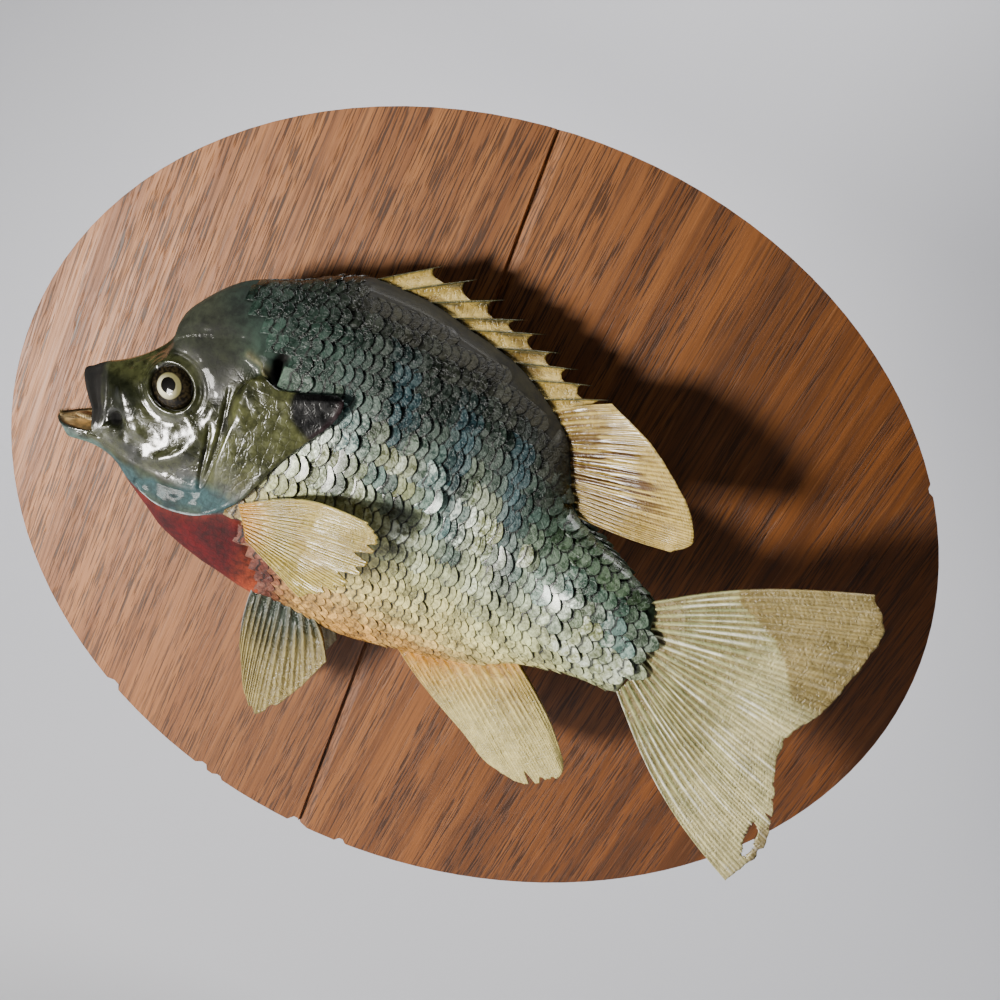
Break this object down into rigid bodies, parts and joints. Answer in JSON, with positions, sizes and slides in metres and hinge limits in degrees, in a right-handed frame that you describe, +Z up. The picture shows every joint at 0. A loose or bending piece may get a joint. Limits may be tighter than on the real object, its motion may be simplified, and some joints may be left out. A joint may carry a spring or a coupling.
{
  "type": "mounted trophy fish",
  "caption": "Bluegill sunfish skin mount with open mouth, raised fins and swung tail, lying on an oval grooved wood-veneer wall board.",
  "frame": {"origin": "centre of the board's flat back face, on the wall", "axes": "+X along the board's long axis towards the tail, +Y into the wall, +Z up"},
  "size_m": [0.254, 0.0535, 0.212],
  "materials": {
    "board": "satin",
    "head_skin": "varnished",
    "ear_flap": "varnished",
    "eye": "gloss",
    "body_skin": "varnished",
    "fin": "varnished"
  },
  "bodies": {
    "root": {"board": "board", "upper_jaw": "head_skin", "lower_jaw": "head_skin", "head": "head_skin", "gill_cover_left": "head_skin", "gill_cover_right": "head_skin", "ear_flap_left": "ear_flap", "ear_flap_right": "ear_flap", "eye_left": "eye", "eye_right": "eye", "trunk": "body_skin", "throat": "body_skin", "belly": "body_skin", "tail_stalk": "body_skin", "pectoral_fin_left": "fin", "pectoral_fin_right": "fin", "pelvic_fin_left": "fin", "pelvic_fin_right": "fin", "dorsal_fin_spiny": "fin", "dorsal_fin_soft": "fin", "anal_fin": "fin", "caudal_fin": "fin"}
  },
  "joints": []
}
